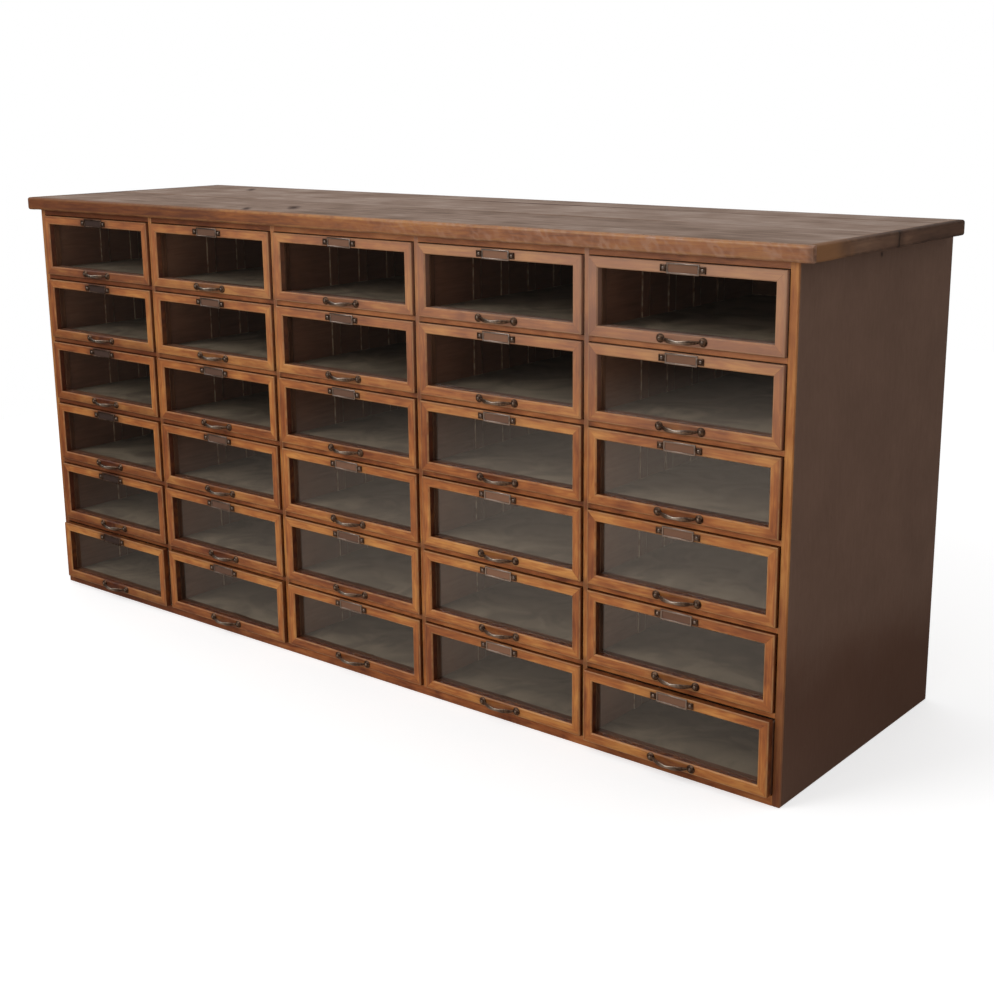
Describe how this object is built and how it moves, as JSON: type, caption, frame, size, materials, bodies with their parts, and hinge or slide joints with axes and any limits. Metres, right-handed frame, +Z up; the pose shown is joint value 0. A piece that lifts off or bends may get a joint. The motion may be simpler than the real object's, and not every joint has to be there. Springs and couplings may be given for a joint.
{
  "type": "haberdashery cabinet",
  "caption": "Low, wide shop cabinet of glass-fronted sliding drawers in mitred oak frames, each with a bow pull and a card holder, under an overhanging plank top.",
  "frame": {"origin": "on the floor, at the middle of the carcass's footprint", "axes": "+X to the right seen from the front, +Y towards the back, +Z up; the drawers open towards -Y"},
  "size_m": [1.9554, 0.5965, 0.9],
  "materials": {
    "stained_side": "dark grey-brown stain, worn",
    "frame_oak": "golden oak, old varnish",
    "drawer_oak": "golden oak, old varnish",
    "edging_oak": "brown oak, old varnish",
    "weathered_planks": "weathered grey-brown, matte",
    "carcass_pine": "bare pine, aged",
    "screw_steel": "dull",
    "drawer_box": "dark stained deal",
    "drawer_floor": "grey, dusty",
    "pane_glass": "clear, old",
    "aged_bronze": "dark patina, rubbed",
    "aged_card": "faded card"
  },
  "bodies": {
    "carcass": {"side_panel_left": "stained_side", "side_panel_right": "stained_side", "end_stile_left": "frame_oak", "end_stile_right": "frame_oak", "partition_1": "carcass_pine", "partition_2": "carcass_pine", "partition_3": "carcass_pine", "partition_4": "carcass_pine", "muntin_1": "frame_oak", "muntin_2": "frame_oak", "muntin_3": "frame_oak", "muntin_4": "frame_oak", "bottom_rail": "frame_oak", "top_rail": "frame_oak", "drawer_rails": "frame_oak", "drawer_runners": "carcass_pine", "top_kickers": "carcass_pine", "drawer_stops": "carcass_pine", "bottom_board": "carcass_pine", "back_rails": "carcass_pine", "back_boards": "carcass_pine", "back_screws": "screw_steel", "top_plank_front": "weathered_planks", "top_plank_middle": "weathered_planks", "top_plank_rear": "weathered_planks", "top_edging_front": "edging_oak", "top_edging_left": "edging_oak", "top_edging_right_front": "edging_oak", "top_edging_right_rear": "edging_oak"},
    "drawer_row1_col1": {"drawer_row1_col1": "drawer_oak"},
    "drawer_row1_col2": {"drawer_row1_col2": "drawer_oak"},
    "drawer_row1_col3": {"drawer_row1_col3": "drawer_oak"},
    "drawer_row1_col4": {"drawer_row1_col4": "drawer_oak"},
    "drawer_row1_col5": {"drawer_row1_col5": "drawer_oak"},
    "drawer_row2_col1": {"drawer_row2_col1": "drawer_oak"},
    "drawer_row2_col2": {"drawer_row2_col2": "drawer_oak"},
    "drawer_row2_col3": {"drawer_row2_col3": "drawer_oak"},
    "drawer_row2_col4": {"drawer_row2_col4": "drawer_oak"},
    "drawer_row2_col5": {"drawer_row2_col5": "drawer_oak"},
    "drawer_row3_col1": {"drawer_row3_col1": "drawer_oak"},
    "drawer_row3_col2": {"drawer_row3_col2": "drawer_oak"},
    "drawer_row3_col3": {"drawer_row3_col3": "drawer_oak"},
    "drawer_row3_col4": {"drawer_row3_col4": "drawer_oak"},
    "drawer_row3_col5": {"drawer_row3_col5": "drawer_oak"},
    "drawer_row4_col1": {"drawer_row4_col1": "drawer_oak"},
    "drawer_row4_col2": {"drawer_row4_col2": "drawer_oak"},
    "drawer_row4_col3": {"drawer_row4_col3": "drawer_oak"},
    "drawer_row4_col4": {"drawer_row4_col4": "drawer_oak"},
    "drawer_row4_col5": {"drawer_row4_col5": "drawer_oak"},
    "drawer_row5_col1": {"drawer_row5_col1": "drawer_oak"},
    "drawer_row5_col2": {"drawer_row5_col2": "drawer_oak"},
    "drawer_row5_col3": {"drawer_row5_col3": "drawer_oak"},
    "drawer_row5_col4": {"drawer_row5_col4": "drawer_oak"},
    "drawer_row5_col5": {"drawer_row5_col5": "drawer_oak"},
    "drawer_row6_col1": {"drawer_row6_col1": "drawer_oak"},
    "drawer_row6_col2": {"drawer_row6_col2": "drawer_oak"},
    "drawer_row6_col3": {"drawer_row6_col3": "drawer_oak"},
    "drawer_row6_col4": {"drawer_row6_col4": "drawer_oak"},
    "drawer_row6_col5": {"drawer_row6_col5": "drawer_oak"}
  },
  "joints": [
    {"name": "row1_col1_slide", "type": "slide", "parent": "carcass", "child": "drawer_row1_col1", "axis": [0, -1, 0], "range_m": [0, 0.38]},
    {"name": "row1_col2_slide", "type": "slide", "parent": "carcass", "child": "drawer_row1_col2", "axis": [0, -1, 0], "range_m": [0, 0.38]},
    {"name": "row1_col3_slide", "type": "slide", "parent": "carcass", "child": "drawer_row1_col3", "axis": [0, -1, 0], "range_m": [0, 0.38]},
    {"name": "row1_col4_slide", "type": "slide", "parent": "carcass", "child": "drawer_row1_col4", "axis": [0, -1, 0], "range_m": [0, 0.38]},
    {"name": "row1_col5_slide", "type": "slide", "parent": "carcass", "child": "drawer_row1_col5", "axis": [0, -1, 0], "range_m": [0, 0.38]},
    {"name": "row2_col1_slide", "type": "slide", "parent": "carcass", "child": "drawer_row2_col1", "axis": [0, -1, 0], "range_m": [0, 0.38]},
    {"name": "row2_col2_slide", "type": "slide", "parent": "carcass", "child": "drawer_row2_col2", "axis": [0, -1, 0], "range_m": [0, 0.38]},
    {"name": "row2_col3_slide", "type": "slide", "parent": "carcass", "child": "drawer_row2_col3", "axis": [0, -1, 0], "range_m": [0, 0.38]},
    {"name": "row2_col4_slide", "type": "slide", "parent": "carcass", "child": "drawer_row2_col4", "axis": [0, -1, 0], "range_m": [0, 0.38]},
    {"name": "row2_col5_slide", "type": "slide", "parent": "carcass", "child": "drawer_row2_col5", "axis": [0, -1, 0], "range_m": [0, 0.38]},
    {"name": "row3_col1_slide", "type": "slide", "parent": "carcass", "child": "drawer_row3_col1", "axis": [0, -1, 0], "range_m": [0, 0.38]},
    {"name": "row3_col2_slide", "type": "slide", "parent": "carcass", "child": "drawer_row3_col2", "axis": [0, -1, 0], "range_m": [0, 0.38]},
    {"name": "row3_col3_slide", "type": "slide", "parent": "carcass", "child": "drawer_row3_col3", "axis": [0, -1, 0], "range_m": [0, 0.38]},
    {"name": "row3_col4_slide", "type": "slide", "parent": "carcass", "child": "drawer_row3_col4", "axis": [0, -1, 0], "range_m": [0, 0.38]},
    {"name": "row3_col5_slide", "type": "slide", "parent": "carcass", "child": "drawer_row3_col5", "axis": [0, -1, 0], "range_m": [0, 0.38]},
    {"name": "row4_col1_slide", "type": "slide", "parent": "carcass", "child": "drawer_row4_col1", "axis": [0, -1, 0], "range_m": [0, 0.38]},
    {"name": "row4_col2_slide", "type": "slide", "parent": "carcass", "child": "drawer_row4_col2", "axis": [0, -1, 0], "range_m": [0, 0.38]},
    {"name": "row4_col3_slide", "type": "slide", "parent": "carcass", "child": "drawer_row4_col3", "axis": [0, -1, 0], "range_m": [0, 0.38]},
    {"name": "row4_col4_slide", "type": "slide", "parent": "carcass", "child": "drawer_row4_col4", "axis": [0, -1, 0], "range_m": [0, 0.38]},
    {"name": "row4_col5_slide", "type": "slide", "parent": "carcass", "child": "drawer_row4_col5", "axis": [0, -1, 0], "range_m": [0, 0.38]},
    {"name": "row5_col1_slide", "type": "slide", "parent": "carcass", "child": "drawer_row5_col1", "axis": [0, -1, 0], "range_m": [0, 0.38]},
    {"name": "row5_col2_slide", "type": "slide", "parent": "carcass", "child": "drawer_row5_col2", "axis": [0, -1, 0], "range_m": [0, 0.38]},
    {"name": "row5_col3_slide", "type": "slide", "parent": "carcass", "child": "drawer_row5_col3", "axis": [0, -1, 0], "range_m": [0, 0.38]},
    {"name": "row5_col4_slide", "type": "slide", "parent": "carcass", "child": "drawer_row5_col4", "axis": [0, -1, 0], "range_m": [0, 0.38]},
    {"name": "row5_col5_slide", "type": "slide", "parent": "carcass", "child": "drawer_row5_col5", "axis": [0, -1, 0], "range_m": [0, 0.38]},
    {"name": "row6_col1_slide", "type": "slide", "parent": "carcass", "child": "drawer_row6_col1", "axis": [0, -1, 0], "range_m": [-0.008, 0.372]},
    {"name": "row6_col2_slide", "type": "slide", "parent": "carcass", "child": "drawer_row6_col2", "axis": [0, -1, 0], "range_m": [-0.003, 0.377]},
    {"name": "row6_col3_slide", "type": "slide", "parent": "carcass", "child": "drawer_row6_col3", "axis": [0, -1, 0], "range_m": [0, 0.38]},
    {"name": "row6_col4_slide", "type": "slide", "parent": "carcass", "child": "drawer_row6_col4", "axis": [0, -1, 0], "range_m": [0, 0.38]},
    {"name": "row6_col5_slide", "type": "slide", "parent": "carcass", "child": "drawer_row6_col5", "axis": [0, -1, 0], "range_m": [-0.009, 0.371]}
  ]
}
